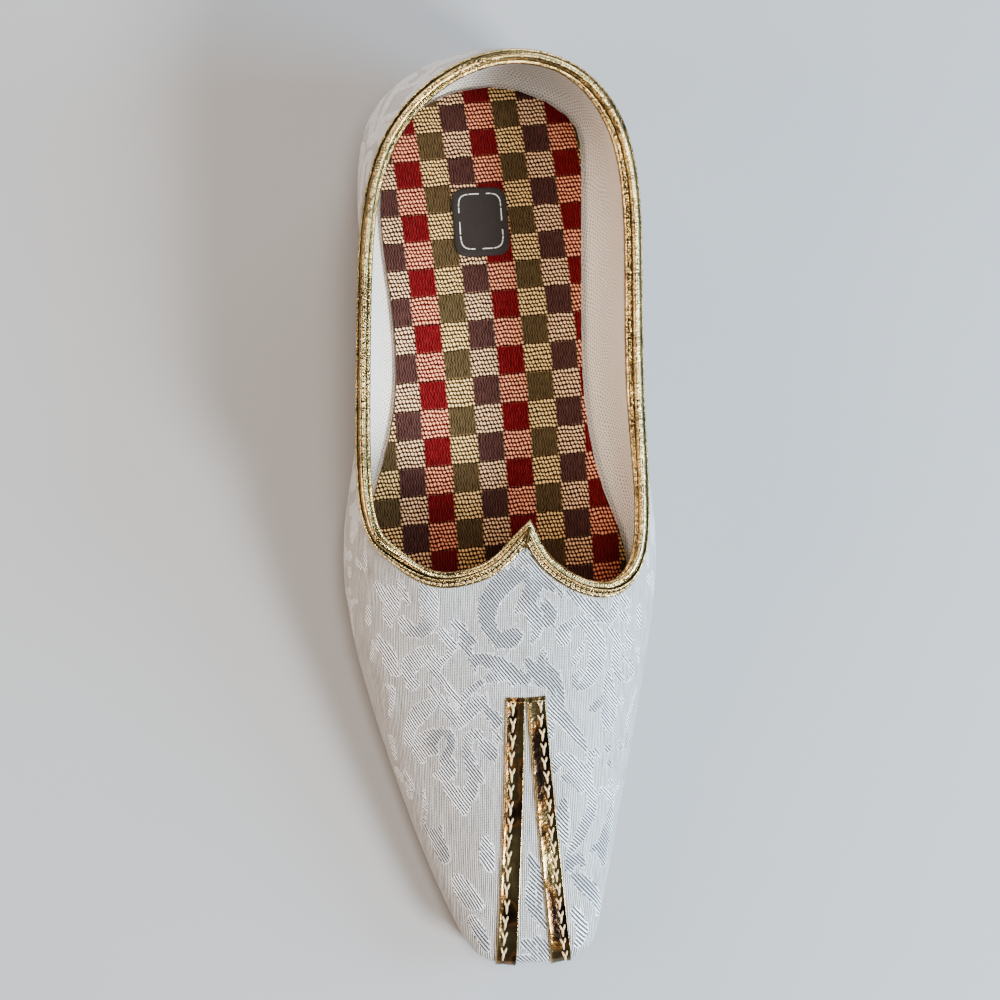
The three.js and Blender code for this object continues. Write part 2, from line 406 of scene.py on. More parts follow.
def ringsOfUpper():
    # rings from the outer topline down the outer wall, then up the inner wall; columns start at the peak
    piece = copyOfNode("upper", "upperNet")
    net = bmesh.new()
    net.from_mesh(piece.data)
    high = max(v.co.z for v in net.verts)
    start = max((v for v in net.verts if v.co.z > high - 1.2 * mm), key=lambda v: v.co.y)
    aside = max(neighboursOf(start), key=lambda v: (v.co - start.co).normalized().x)
    ring = walk(start, aside)
    depth = len(net.verts) // len(ring)
    downward = [v for v in neighboursOf(start) if walk(start, v, depth + 1)[-1] == start]
    below = max(downward, key=lambda v: v.co.y)
    turn = (neighboursOf(start).index(below) - neighboursOf(start).index(aside)) % 6
    columns = []
    for j, vert in enumerate(ring):
        around = neighboursOf(vert)
        along = around.index(ring[(j + 1) % len(ring)])
        columns.append([v.co.copy() for v in walk(vert, around[(along + turn) % 6], depth)])
    net.free()
    bpy.data.objects.remove(piece)
    front = [j for j, column in enumerate(columns) if column[0].y < 0 and abs(column[0].x) < 15 * mm]
    peak = max(front, key=lambda j: columns[j][0].y)
    columns = columns[peak:] + columns[:peak]
    return [[column[i] for column in columns] for i in range(depth)]


rings = ringsOfUpper()
wallRings = len(rings) // 2
columnCount = len(rings[0])
heelColumn = columnCount // 2
print("upper net:", len(rings), "rings by", columnCount, "columns")


def arcLengths(path):
    steps = [0.0] + [(b - a).length for a, b in zip(path, path[1:])]
    return list(np.cumsum(steps))


# brocade: flat cloth coordinates first, then the woven figure charted on them

def layFlat(piece):
    # unwrap with a seam up the heel, then turn the flat cloth so that the vamp lies as it is worn
    for edge in piece.data.edges:
        edge.select = all(v % columnCount == heelColumn for v in edge.vertices)
    for vert in piece.data.vertices:
        vert.select = vert.index % columnCount == heelColumn
    for face in piece.data.polygons:
        face.select = False
    makeActive(piece)
    bpy.ops.object.mode_set(mode="EDIT")
    bpy.ops.mesh.select_mode(type="EDGE")
    bpy.ops.mesh.mark_seam()
    bpy.ops.mesh.select_all(action="SELECT")
    bpy.ops.uv.unwrap(method="ANGLE_BASED", margin=0.0)
    leaveEdit()
    layer = piece.data.uv_layers.active
    layer.name = "cloth"
    flat = np.zeros(len(layer.data) * 2)
    layer.data.foreach_get("uv", flat)
    flat = flat[0::2] + 1j * flat[1::2]
    corners = np.zeros(len(piece.data.loops), int)
    piece.data.loops.foreach_get("vertex_index", corners)
    top, toe = 2, wallRings - 5  # rings on the centre line of the vamp
    a = flat[corners == top * columnCount][0]
    b = flat[corners == toe * columnCount][0]
    path = [rings[i][0] for i in range(top, toe + 1)]
    start, end = complex(*path[0].xy), complex(*path[-1].xy)
    turn = (end - start) / abs(end - start) * arcLengths(path)[-1] / (b - a)
    flat = (flat - a) * turn + start
    layer.data.foreach_set("uv", np.stack([flat.real, flat.imag], 1).ravel())


# the woven figure, piece by piece: strokes of (x, y, half width) in millimetres, seen from above
figure = {
    "throatScroll": [
        [(3.2, -24.5, 1.6), (0.5, -25.2, 3.0), (-2.8, -27.8, 3.1), (-5.5, -31.5, 3.0),
         (-6.4, -35.5, 2.5),
         (-5.4, -39.2, 2.0), (-3, -42, 2.0), (0, -41.5, 2.7), (1.4, -40.8, 2.0)],
        [(-9.3, -46, 1.0), (-6.5, -47.3, 1.9), (-2.5, -49, 2.2), (2.5, -52.3, 1.6), (5.5, -54.5, 0.6)],
        [(-12.5, -43.5, 0.7), (-10.5, -46.5, 0.7), (-9.6, -49.5, 0.6)],
    ],
    "throatStem": [
        [(5.2, -18.5, 0.8), (6, -22, 2.2), (7.2, -26, 2.6), (5.5, -30, 2.4), (3.2, -33, 1.4),
         (1.2, -35.2, 0.6)],
        [(8.5, -26, 1.6), (11.5, -28.5, 1.3), (13.5, -28.8, 0.5)],
        [(4, -32, 1.4), (6.2, -35.5, 2.2), (7.2, -38.5, 1.8), (6.8, -41, 1.0), (5.5, -43, 0.4)],
        [(9.5, -33, 1.2), (10.8, -35, 1.9), (10.5, -37.5, 1.6), (9.4, -38, 1.0)],
    ],
    "moonLeaf": [
        [(-23.5, -26.5, 1.0), (-22, -29.5, 2.5), (-22, -33, 2.7), (-22.5, -36.5, 2.6),
         (-24.5, -39, 1.4)],
        [(-29.2, -35, 1.2), (-27.5, -37.5, 2.1), (-25.5, -38.7, 1.3)],
        [(-29.5, -25, 0.8), (-28.6, -28, 1.0), (-27.5, -30.5, 0.6)],
        [(-35.5, -25, 1.0), (-34.4, -27, 1.3), (-33.6, -29, 1.0)],
        [(-32, -26.5, 1.2), (-31.5, -30, 2.1), (-32.8, -33.5, 1.8), (-32.4, -36, 0.5)],
        [(-38, -31, 0.8), (-38.3, -34.5, 0.9)],
    ],
    "sprig": [
        [(-18.8, -39, 1.3), (-17.2, -41, 1.5), (-15.6, -42.8, 1.2)],
        [(-15.2, -36.8, 1.2), (-13, -38.3, 1.3)],
        [(-12.8, -40.3, 1.4), (-10.4, -41.8, 1.4)],
        [(-13.4, -42.3, 0.8), (-12, -45, 0.6), (-10.2, -47.4, 0.6)],
        [(-15.6, -43, 0.7), (-17.4, -45.6, 0.7), (-19.4, -47, 0.9)],
    ],
    "sideLobes": [
        [(-35.6, -38.5, 0.5), (-35.5, -41.5, 1.1)],
        [(-34.4, -41, 1.3), (-33, -44, 2.3), (-32.5, -47, 2.1), (-31, -48.8, 1.0)],
        [(-33.7, -52, 0.5), (-32, -53, 0.5), (-32.4, -55.4, 0.6), (-33, -60, 0.4)],
        [(-37.2, -40, 0.4), (-37.5, -44.5, 0.5)],
    ],
    "wideLeaf": [
        [(-21.5, -43.5, 1.2), (-24.5, -44.8, 2.3), (-27.3, -47, 2.4), (-28, -50, 1.6)],
        [(-27.4, -52.6, 1.3), (-26.2, -52.3, 1.3)],
        [(-20.8, -46, 1.5), (-19.6, -48.4, 0.8)],
        [(-22.5, -47.3, 0.9), (-19, -51.6, 1.0), (-16.2, -55.4, 1.0), (-13.9, -58.6, 0.8)],
        [(-22.8, -53, 0.6), (-19.5, -57, 1.2), (-17, -60.5, 1.5), (-14.6, -64.2, 0.9)],
    ],
    "archBand": [
        [(-14, -58, 0.7), (-11.5, -55, 0.9), (-7.5, -52.6, 0.9), (-3, -52.2, 0.9), (0.8, -54, 0.6)],
        [(-7.5, -57.5, 1.3), (-10, -59, 1.9), (-12.2, -61, 2.0), (-14.2, -63.8, 0.9)],
        [(-8.2, -61, 0.9), (-5.5, -62, 1.6), (-3.6, -63.4, 1.1)],
    ],
    "palmette": [
        [(-21, -57.5, 1.1), (-25, -60, 2.5), (-27.5, -63.5, 1.7), (-28.3, -67.3, 1.4)],
        [(-20.5, -66, 1.5), (-23, -67.5, 2.8), (-25.5, -69.5, 2.3), (-24.8, -73, 0.7)],
        [(-23, -70, 1.8), (-20.9, -70.5, 0.9)],
        [(-19.5, -65, 0.6), (-17.5, -66.2, 1.2), (-16.8, -68.8, 1.2), (-18, -71.5, 1.3),
         (-19.5, -73, 0.8)],
        [(-18.5, -73, 1.5), (-18, -76, 2.0), (-19.5, -77.3, 1.4), (-21.5, -77, 0.5)],
        [(-16.4, -73.8, 0.6), (-16.4, -77, 0.9)],
        [(-18.5, -80, 1.1), (-16.5, -82, 2.2), (-14.5, -84.5, 2.4), (-14, -87.3, 1.0)],
        [(-11.5, -79.7, 1.2), (-12, -82, 2.0), (-13.5, -84.5, 1.8)],
        [(-13, -69, 0.8), (-12, -67.3, 1.2), (-9.8, -66.6, 1.2), (-8.6, -68, 0.7)],
        [(-12.9, -69.5, 1.1), (-12, -73, 1.6), (-11, -76.5, 1.8), (-9.2, -78.8, 1.2)],
        [(-8, -70, 1.5), (-6.3, -71.5, 2.0), (-5.5, -73.4, 1.1)],
        [(-5.4, -66, 0.7), (-3.2, -69, 0.7)],
    ],
    "smallTwigs": [
        [(-33, -66, 0.9), (-31.8, -71.5, 0.8)],
        [(-31.5, -75, 0.9), (-30.5, -77, 1.2)],
        [(-29.5, -75.5, 0.4), (-28, -78, 0.5), (-27.2, -80.5, 0.4)],
        [(-28.8, -79.5, 0.9), (-28.2, -82.2, 0.8)],
        [(-25, -90.5, 0.5), (-24.3, -86, 0.35), (-24.6, -81, 0.3)],
    ],
    "notchedFlower": [
        [(-24.5, -91, 0.5), (-23.5, -92.5, 0.9)],
        [(-22, -93, 1.5), (-20.5, -96.5, 2.3), (-19.5, -99.4, 1.8)],
        [(-20.4, -91.4, 0.7), (-20, -92.4, 0.6)],
        [(-8.3, -95, 0.8), (-8, -98, 1.8), (-8, -101, 1.8), (-7, -103.3, 0.8)],
        [(-16, -105.3, 1.2), (-14.8, -108, 2.8), (-13, -111, 2.8), (-10.5, -113, 1.2)],
        [(-12.2, -117, 1.2), (-10.2, -121, 1.4), (-8.8, -125, 0.7)],
    ],
    "collarSprays": [
        [(14.2, -30.5, 0.7), (17, -30.5, 1.1), (19, -32, 1.1)],
        [(19.5, -33, 1.3), (22.5, -34, 2.2), (25.5, -36.6, 1.6), (28.5, -36.3, 1.4),
         (29.3, -31.5, 0.7)],
        [(31, -31.5, 0.9), (33, -33, 1.1)],
        [(31, -36, 1.2), (33.5, -37.3, 0.8)],
        [(36.5, -34, 0.9), (36.8, -38.5, 0.9)],
    ],
    "paisley": [
        [(14.4, -42, 2.2), (14.2, -40.6, 2.1), (15.4, -38.9, 1.3), (19, -37.4, 1.4), (22.2, -39.8, 2.1),
         (23.8, -43.5, 2.7), (23.9, -47.5, 2.6), (22.5, -51.5, 2.3), (20.3, -54.3, 1.5), (18, -55, 1.0),
         (17.4, -53, 0.8), (18.6, -51.2, 0.8), (20, -50.9, 0.7)],
        [(20, -43.5, 0.5), (18.5, -46.5, 0.9), (17, -48.5, 0.6)],
    ],
    "curvedStem": [
        [(27.3, -40, 0.6), (29.6, -42, 1.1), (29.4, -46, 1.3), (29.2, -50, 1.2), (31, -53, 0.8)],
        [(31, -44.5, 0.6), (33.3, -44.5, 0.6), (34, -42.5, 0.8), (32.4, -41, 0.8)],
        [(31.5, -47.5, 0.5), (34, -49, 0.6), (34.5, -52, 0.6), (32.5, -53.5, 0.6)],
        [(36.4, -45, 0.5), (36.8, -48, 0.4)],
        [(36, -56, 0.5), (34.5, -60, 0.6), (33.4, -63, 0.5), (33, -67, 0.7), (32.8, -71, 0.6)],
    ],
    "trefoil": [
        [(26.8, -51.8, 0.9), (27.2, -56, 1.9), (27.5, -60, 2.4), (27, -63.5, 2.6), (27, -66.8, 0.9)],
        [(25, -58.5, 1.1), (22.7, -61, 1.1), (21.3, -60.8, 0.5)],
        [(29.5, -58.5, 0.7), (31.3, -59, 0.7)],
    ],
    "toothedLeaf": [
        [(8.8, -45.5, 0.7), (8.5, -48.5, 1.7), (9.5, -52, 2.8), (11.8, -54.5, 2.2), (13.4, -57.6, 1.2)],
        [(4, -47, 0.7), (6, -50, 1.6), (8, -53.5, 1.6)],
        [(12, -51, 1.1), (14.3, -50.3, 0.5)],
        [(11, -58.8, 1.4), (12.5, -61.5, 2.2), (15, -65, 2.0), (18.3, -69, 1.3), (20, -71.8, 0.7)],
        [(10.4, -62, 0.8), (10.4, -68, 0.7)],
    ],
    "broadLeaf": [
        [(11.2, -78, 0.7), (11.8, -75, 1.5), (14, -74.5, 1.7), (17, -76.5, 2.0),
         (19.5, -79.5, 2.2), (21, -83, 1.3),
         (22.3, -84.8, 0.7)],
        [(13.8, -79.5, 1.2), (16.5, -80, 1.4), (18.5, -82.5, 1.3)],
        [(21, -73.8, 0.9), (23, -72.5, 0.9), (24, -73.5, 0.7)],
        [(21.5, -75.8, 1.2), (21.6, -76.6, 1.0)],
        [(26.5, -71.6, 1.1), (26.9, -71.8, 1.1)],
        [(27, -76, 1.0), (27.3, -76.4, 1.0)],
        [(27.3, -81, 0.8), (27.6, -81.3, 0.7)],
        [(30.2, -71, 0.8), (31.5, -71.8, 0.6)],
        [(22.5, -84, 0.5), (24.8, -83.2, 0.7), (26.5, -84.5, 0.7), (28, -87, 0.8)],
        [(28.5, -84, 0.7), (30.3, -81.7, 0.5)],
    ],
    "lowLeaves": [
        [(13.5, -85.8, 0.9), (13, -89, 1.7), (13, -92.5, 1.7), (13.6, -96.5, 0.7)],
        [(21.3, -85.8, 1.1), (21.6, -88, 1.5), (20, -91.5, 1.8), (17.8, -95.5, 1.6), (15.3, -99, 0.9),
         (13.4, -101.2, 0.4)],
        [(27.3, -88.8, 0.9), (27, -92, 1.9), (25.5, -96, 2.2), (24.8, -100, 2.2), (25.2, -103, 1.1)],
        [(21.5, -99.3, 0.9), (23.5, -98.5, 1.2)],
        [(14, -104, 0.7), (17, -101.5, 1.5), (18.8, -103, 0.7)],
        [(15.5, -106, 0.7), (18, -108, 1.8), (21, -110.5, 2.0), (23, -114, 1.4), (23, -117, 0.7)],
        [(16, -116, 1.1), (18, -120.5, 1.4), (17, -125, 0.8)],
    ],
    "toeLeaf": [
        [(3.5, -100, 0.7), (5, -103.5, 1.3), (5.4, -107.5, 2.0), (4.5, -111.5, 2.2), (5.5, -116, 1.4),
         (7.5, -119.6, 0.6)],
        [(2, -124, 1.1), (5, -125.5, 1.5), (8, -124.5, 0.9)],
    ],
}
veins = [
    [(-24.6, -28.6, 0.22), (-23.9, -32, 0.26), (-23.8, -36, 0.2)],
    [(-3.4, -23.6, 0.35), (-1, -23.4, 0.4), (0.4, -24.6, 0.2)],
    [(-1.8, -31, 0.5), (-3.3, -34.4, 0.6), (-3.2, -37.4, 0.3)],
    [(5, -19, 0.2), (5.6, -24, 0.28), (6.4, -28, 0.2)],
    [(-25.4, -67.4, 0.2), (-22.2, -66, 0.26), (-20.4, -65.4, 0.2)],
    [(-17.4, -78.8, 0.22), (-14.6, -82, 0.26), (-13.6, -85.4, 0.18)],
    [(-11.2, -73.6, 0.18), (-10, -77, 0.22)],
    [(9, -47, 0.2), (10, -52, 0.26), (12.2, -56, 0.2)],
    [(12.2, -77.2, 0.25), (15.4, -77.4, 0.35), (18.4, -80.6, 0.25)],
    [(27.2, -54, 0.2), (27.4, -62, 0.26), (27, -66, 0.18)],
    [(22.2, -41, 0.2), (24.4, -45.6, 0.26), (22.6, -51, 0.2)],
    [(-14.5, -106, 0.2), (-13, -111, 0.24)],
    [(5.4, -103, 0.18), (5.2, -110, 0.24), (5.2, -115, 0.18)],
]
figureRepeat = {"wide": 86, "tall": 112, "top": -20}  # half a drop lower in each next column


def alongStroke(stroke):
    # points set close along a smooth line through the stroke's own
    row = np.array([stroke[0]] + stroke + [stroke[-1]], float)
    for i in range(1, len(row) - 2):
        before, a, b, after = row[i - 1:i + 3]
        first, last = (b - before) / 2, (after - a) / 2
        for t in np.linspace(0, 1, max(3, int(np.hypot(*(b - a)[:2]) / 0.4))):
            bend, swing = 3 * (b - a) - 2 * first - last, first + last - 2 * (b - a)
            yield a + t * (first + t * (bend + t * swing))


def discsOnCloth(piece, strokes):
    # the strokes dropped on the worn cloth and kept as discs in its flat coordinates
    tree = treeOf(piece)
    layer = piece.data.uv_layers["cloth"].data
    discs = []
    for stroke in strokes:
        for x, y, half in alongStroke(stroke):
            hit, normal, face = plumb(tree, x, y)
            if hit is None:
                continue
            polygon = piece.data.polygons[face]
            shares = poly_3d_calc([piece.data.vertices[v].co for v in polygon.vertices], hit)
            corners = [layer[c].uv * share for c, share in zip(polygon.loop_indices, shares)]
            flat = sum(corners, Vector((0, 0)))
            discs.append((flat.x * 1000, flat.y * 1000, half))
    return np.array(discs)


def repeated(discs):
    wide, tall = figureRepeat["wide"], figureRepeat["tall"]
    shifts = [(across * wide, up * tall + across % 2 * tall / 2, 0)
              for across in (-1, 0, 1) for up in (-1, 0, 1)]
    return np.concatenate([discs + np.array(shift) for shift in shifts])


def distanceTo(discs, spots):
    # signed distance in millimetres from each spot to the union of discs, worked out cell by cell
    cell, reach = 6.0, 3.0
    result = np.full(len(spots), reach)
    keys = np.floor(spots / cell).astype(int)
    order = np.lexsort((keys[:, 1], keys[:, 0]))
    breaks = np.flatnonzero(np.any(np.diff(keys[order], axis=0), axis=1)) + 1
    for group in np.split(order, breaks):
        low = keys[group[0]] * cell - reach
        high = low + cell + 2 * reach
        middles, halves = discs[:, :2], discs[:, 2:]
        near = discs[np.all((middles + halves > low) & (middles - halves < high), 1)]
        if len(near):
            gaps = spots[group][:, None, :] - near[None, :, :2]
            result[group] = np.minimum(reach, (np.hypot(gaps[..., 0], gaps[..., 1]) - near[:, 2]).min(1))
    return result


def weaveFigure(piece):
    # the figure's distance at each corner of the cloth, kept as an attribute for the shader to cut sharp
    layer = piece.data.uv_layers["cloth"]
    flat = np.zeros(len(layer.data) * 2)
    layer.data.foreach_get("uv", flat)
    spots, back = np.unique(np.round(flat.reshape(-1, 2) * 1000, 3), axis=0, return_inverse=True)
    wide, tall, top = figureRepeat["wide"], figureRepeat["tall"], figureRepeat["top"]
    column = np.round(spots[:, 0] / wide)
    home = np.stack([spots[:, 0] - column * wide, spots[:, 1] - column * tall / 2], 1)
    home[:, 1] = top - (top - home[:, 1]) % tall
    solid = repeated(discsOnCloth(piece, [stroke for strokes in figure.values() for stroke in strokes]))
    slits = repeated(discsOnCloth(piece, veins))
    distance = np.maximum(distanceTo(solid, home), -distanceTo(slits, home))
    attribute = piece.data.attributes.new("figure", "FLOAT", "CORNER")
    attribute.data.foreach_set("value", distance[back.ravel()].astype(np.float32))


# soft troughs and swells in the cloth: centre, direction, length, width, depth in millimetres
folds = [
    ((-40, -22, 26), (0.5, -0.8), 16, 3.0, -0.35),
    ((-38, -34, 26), (0.7, -0.7), 14, 3.5, -0.3),
    ((-30, -31, 42), (0.3, -0.9), 15, 4.0, -0.3),
    ((34, -38, 38), (-0.3, -0.9), 16, 4.0, -0.3),
    ((-12, -34, 42), (0.1, -1), 16, 5.0, -0.25),
    ((18, -40, 41), (-0.1, -1), 18, 5.0, -0.25),
    ((-20, -84, 26), (0.35, -0.9), 18, 4.0, -0.25),
    ((20, -92, 24), (-0.2, -0.95), 18, 4.0, -0.25),
    ((4, -100, 26), (0.05, -1), 22, 4.5, 0.25),
]


def softenCloth(piece):
    # small unevenness of cloth pasted over a stiffener, and the main folds
    mesh = piece.data
    count = len(mesh.vertices)
    places, normals = np.zeros(count * 3), np.zeros(count * 3)
    mesh.vertices.foreach_get("co", places)
    mesh.vertices.foreach_get("normal", normals)
    places, normals = places.reshape(-1, 3), normals.reshape(-1, 3)
    lift = np.array([0.15 * cloudAt(Vector(p * 55)) + 0.06 * cloudAt(Vector(p * 160)) for p in places])
    for centre, way, length, width, depth in folds:
        gap = places * 1000 - np.array(centre)
        along = gap[:, 0] * way[0] + gap[:, 1] * way[1]
        across = gap[:, 0] * way[1] - gap[:, 1] * way[0]
        lift += depth * np.exp(-(along / length) ** 2 - (across / width) ** 2 - (gap[:, 2] / 14) ** 2)
    mesh.vertices.foreach_set("co", (places + normals * lift[:, None] * mm).ravel())
    mesh.update()


def brocadeFinish():
    cloth = Finish("whiteBrocade", Sheen_Weight=0.12, Sheen_Roughness=0.4, IOR=1.45)
    x, y = cloth.cloth()
    spot = cloth.vector(x, y)
    jitter = cloth.clouds(spot, 1.5, 2.0) - 0.5
    steps = cloth.vector((x * 1.9).floor() * 0.53, (y * 1.9).floor() * 0.53)
    stepped = (cloth.clouds(steps, 3.1, 0.0) - 0.5) * 0.8
    distance = cloth.attribute("figure") - 0.22 + jitter * 0.35 + stepped
    inside = (distance * -1).ease(-0.1, 0.14)
    rim = 1 - (distance - 0.05).size().ease(0.05, 0.38)
    drift = cloth.clouds(spot, 0.06, 1.0) * 2.2 + jitter * 0.25
    twill = (x * 0.77 + y * 0.64 + drift).wave(0.80)
    gap = 1 - twill.ease(0.12, 0.55)
    beads = (x * 0.64 - y * 0.77 + jitter * 0.4).wave(0.62)
    thread = twill * (0.72 + beads * 0.28)
    ribs = (x + jitter * 0.25).wave(0.54)
    slub = cloth.clouds(cloth.vector(x * 2.6, y * 0.12), 1.0, 2.0)
    picks = (y + jitter * 0.3).wave(0.46)
    ground = ribs * 0.46 + slub * 0.46 + picks * 0.16
    plain = cloth.ramp(ground, [(0.26, (0.020, 0.019, 0.018)), (0.55, (0.105, 0.102, 0.099)),
                                (0.80, (0.46, 0.455, 0.445))])
    # lit and shaded copies of the twill figure; the dark ends of both ramps are painted shade between
    # the twill threads
    litFigure = cloth.ramp(thread, [(0.0, (0.008, 0.008, 0.010)), (0.45, (0.035, 0.035, 0.039)),
                                 (0.86, (0.95, 0.97, 1.0))])
    shadedFigure = cloth.ramp(thread, [(0.0, (0.005, 0.005, 0.006)), (0.45, (0.03, 0.03, 0.033)),
                               (0.85, (0.42, 0.43, 0.45))])
    # painted sheen: the figure goes from the shaded copy to the lit one, more towards both sides
    paintedSheen = (cloth.clouds(spot, 0.06, 1.0) + (x - 3).size() * 0.005).ease(0.44, 0.72)
    colour = cloth.mix(inside, plain, cloth.mix(paintedSheen, shadedFigure, litFigure))
    # painted highlight along the raised edge of the figure, at places
    colour = cloth.mix(rim * (jitter * 2 + 0.5).ease(0.3, 0.9) * 0.5, colour, (0.85, 0.86, 0.87))
    broad = cloth.clouds(spot, 0.035, 2.0)
    colour = cloth.tinted(broad * 0.3, colour, (0.90, 0.865, 0.83))
    cloth.into("Base Color", colour)
    cloth.into("Roughness", 0.6 - inside * thread * 0.26)
    height = inside * (0.45 + thread * 0.75 - gap * 0.2) + (1 - inside) * ground * 0.35 + rim * 0.25
    cloth.relief(height, 0.0003, 0.9)
    return cloth.material


def makeUpper():
    outer = rings[:wallRings]
    hem = [p.lerp(q, 0.6) - Vector((0, 0, 0.25 * mm)) for p, q in zip(outer[-1], rings[wallRings])]
    piece = netOf("brocadeUpper", outer + [hem], wrapAround=True)
    layFlat(piece)
    pinPeak(piece)
    subdivide(piece, 3)
    softenCloth(piece)
    weaveFigure(piece)
    return finishPiece(piece, brocadeFinish(), "brocade", "upper")


def pinPeak(piece):
    # the throat's point stays sharp when the net is smoothed
    deselectAll()
    for vert in piece.data.vertices:
        vert.select = vert.index == 0
    for part in list(piece.data.edges) + list(piece.data.polygons):
        part.select = False
    makeActive(piece)
    bpy.ops.object.mode_set(mode="EDIT")
    bpy.ops.mesh.select_mode(type="VERT")
    bpy.ops.transform.vert_crease(value=0.9)
    leaveEdit()


upper = makeUpper()
print("brocade upper made:", len(upper.data.polygons), "faces")


# knitted lining on the wall's inner face

def liningFinish():
    knit = Finish("knitLining", Sheen_Weight=0.15, Sheen_Roughness=0.5, Roughness=0.8)
    x, y = knit.cloth()
    spot = knit.vector(x, y)
    bend = knit.clouds(spot, 0.12, 1.0) * 3 + knit.clouds(spot, 0.9, 1.0) * 0.3
    row = ((y + bend) / 0.92).floor()
    across = ((x + bend * 0.6) / 1.1 + row * 0.5).fraction() - 0.5
    up = ((y + bend) / 0.92 + across * across * 1.6).fraction() - 0.5
    pore = 1 - (across * across * 1.6 + up * up * 1.9).ease(0.05, 0.26)
    fuzz = knit.clouds(spot, 1.7, 3.0)
    broad = knit.clouds(spot, 0.05, 1.0)
    colour = knit.ramp(fuzz, [(0.25, (0.52, 0.46, 0.405)), (0.7, (0.84, 0.76, 0.675))])
    colour = knit.mix(pore * 0.85, colour, (0.15, 0.115, 0.09))
    colour = knit.mix(broad * 0.3, colour, (0.50, 0.44, 0.37))
    knit.into("Base Color", colour)
    knit.relief(fuzz * 0.4 - pore, 0.0004, 0.8)
    return knit.material


def makeLining():
    inner = rings[:wallRings - 1:-1]
    piece = netOf("knitLining", inner, wrapAround=True)
    piece.data.flip_normals()
    layer = piece.data.uv_layers.new(name="cloth")
    around = arcLengths([rings[wallRings + 6][j % columnCount] for j in range(columnCount + 1)])
    down = [arcLengths([row[j] for row in inner]) for j in range(columnCount)]
    for face in piece.data.polygons:
        js = [v % columnCount for v in face.vertices]
        for corner, v, j in zip(face.loop_indices, face.vertices, js):
            j = columnCount if j == 0 and columnCount - 1 in js else j
            layer.data[corner].uv = (around[j], down[j % columnCount][v // columnCount])
    pinPeak(piece)
    subdivide(piece, 3)
    return finishPiece(piece, liningFinish(), "brocade")


lining = makeLining()
print("lining made")


# the collar: frames along the topline, from the peak by the lateral side round to the peak again

def topRim(piece):
    # points and normals of the upper open edge, walked from the peak to the lateral side
    shell = bmesh.new()
    shell.from_mesh(piece.data)
    shell.verts.ensure_lookup_table()
    vert = shell.verts[0]
    edges = [e for e in vert.link_edges if e.is_boundary]
    edge = min(edges, key=lambda e: e.other_vert(vert).co.x)
    found = [vert]
    while True:
        vert = edge.other_vert(vert)
        found.append(vert)
        if vert == found[0]:
            break
        edge = [e for e in vert.link_edges if e.is_boundary and e != edge][0]
    result = [(v.co.copy(), v.normal.copy()) for v in found]
    shell.free()
    return result


def smoothed(vectors, reach, keepEnds=True):
    values = np.array([tuple(v) for v in vectors])
    padded = np.concatenate([np.repeat(values[:1], reach, 0), values, np.repeat(values[-1:], reach, 0)])
    result = np.stack([np.convolve(padded[:, k], np.ones(2 * reach + 1) / (2 * reach + 1), "valid")
                       for k in range(3)], 1)
    if keepEnds:
        result[0], result[-1] = values[0], values[-1]
    return [Vector(v) for v in result]


frameStep = 0.5  # millimetres of topline from one frame to the next
lead = 16  # frames laid past the peak at each end, to be mitred
mitreReach = 60  # frames from each end in which the mitre is looked for


def collarFrames():
    outside, inside = topRim(upper), topRim(lining)
    outer = smoothed([p for p, n in outside], 2)
    inner = smoothed([p for p, n in inside], 2)
    places = arcLengths(outer)
    count = int(places[-1] / (frameStep * mm))
    marks = np.linspace(0, places[-1], count + 1)

    def along(vectors):
        values = np.array([tuple(v) for v in vectors])
        return np.stack([np.interp(marks, places, values[:, k]) for k in range(3)], 1)

    outer, inner = along(outer), along(inner)
    across = smoothed(list(inner - outer), 6)
    frames = []
    for i in range(-lead, count + lead + 1):
        j = min(max(i, 0), count)
        ahead = outer[min(j + 3, count)] - outer[max(j - 3, 0)]
        ahead = Vector(ahead).normalized()
        wide = across[j] - ahead * across[j].dot(ahead)
        thick = wide.length * 1000
        wide.normalize()
        climb = wide.cross(ahead).normalized()
        if climb.z < 0 and abs(climb.z) > 0.3:
            climb.negate()
        spot = Vector(outer[j]) + ahead * (i - j) * frameStep * mm
        frames.append({"spot": spot, "ahead": ahead, "wide": wide, "climb": climb, "thick": thick,
                       "mark": i * frameStep * mm})
    climbs = smoothed([f["climb"] for f in frames], 4)
    for f, climb in zip(frames, climbs):
        f["climb"] = climb.normalized()
    first, last = frames[lead], frames[-1 - lead]
    seam = (first["ahead"] + last["ahead"]).normalized()
    return frames, Vector(outer[0]), seam


frames, peakSpot, seamNormal = collarFrames()
skinTree, liningTree = treeOf(upper), treeOf(lining)
print("collar frames:", len(frames), "over", round(frames[-1]["mark"] * 1000), "mm")


def trimPoint(f, across, climb, hug=0):
    # across runs from 0 on the outer face to 2 on the inner one, climb up past the edge, in millimetres
    base = f["spot"] + f["climb"] * climb * mm
    if hug and across < 0:
        near, normal = nearest(skinTree, base)
        return near + normal * -across * mm
    if hug and across > 1:
        near, normal = nearest(liningTree, base + f["wide"] * f["thick"] * mm)
        return near + normal * (across - 2) * mm
    if across > 0:
        across = across * f["thick"] / 2 if across < 2 else f["thick"] + across - 2
    return base + f["wide"] * across * mm


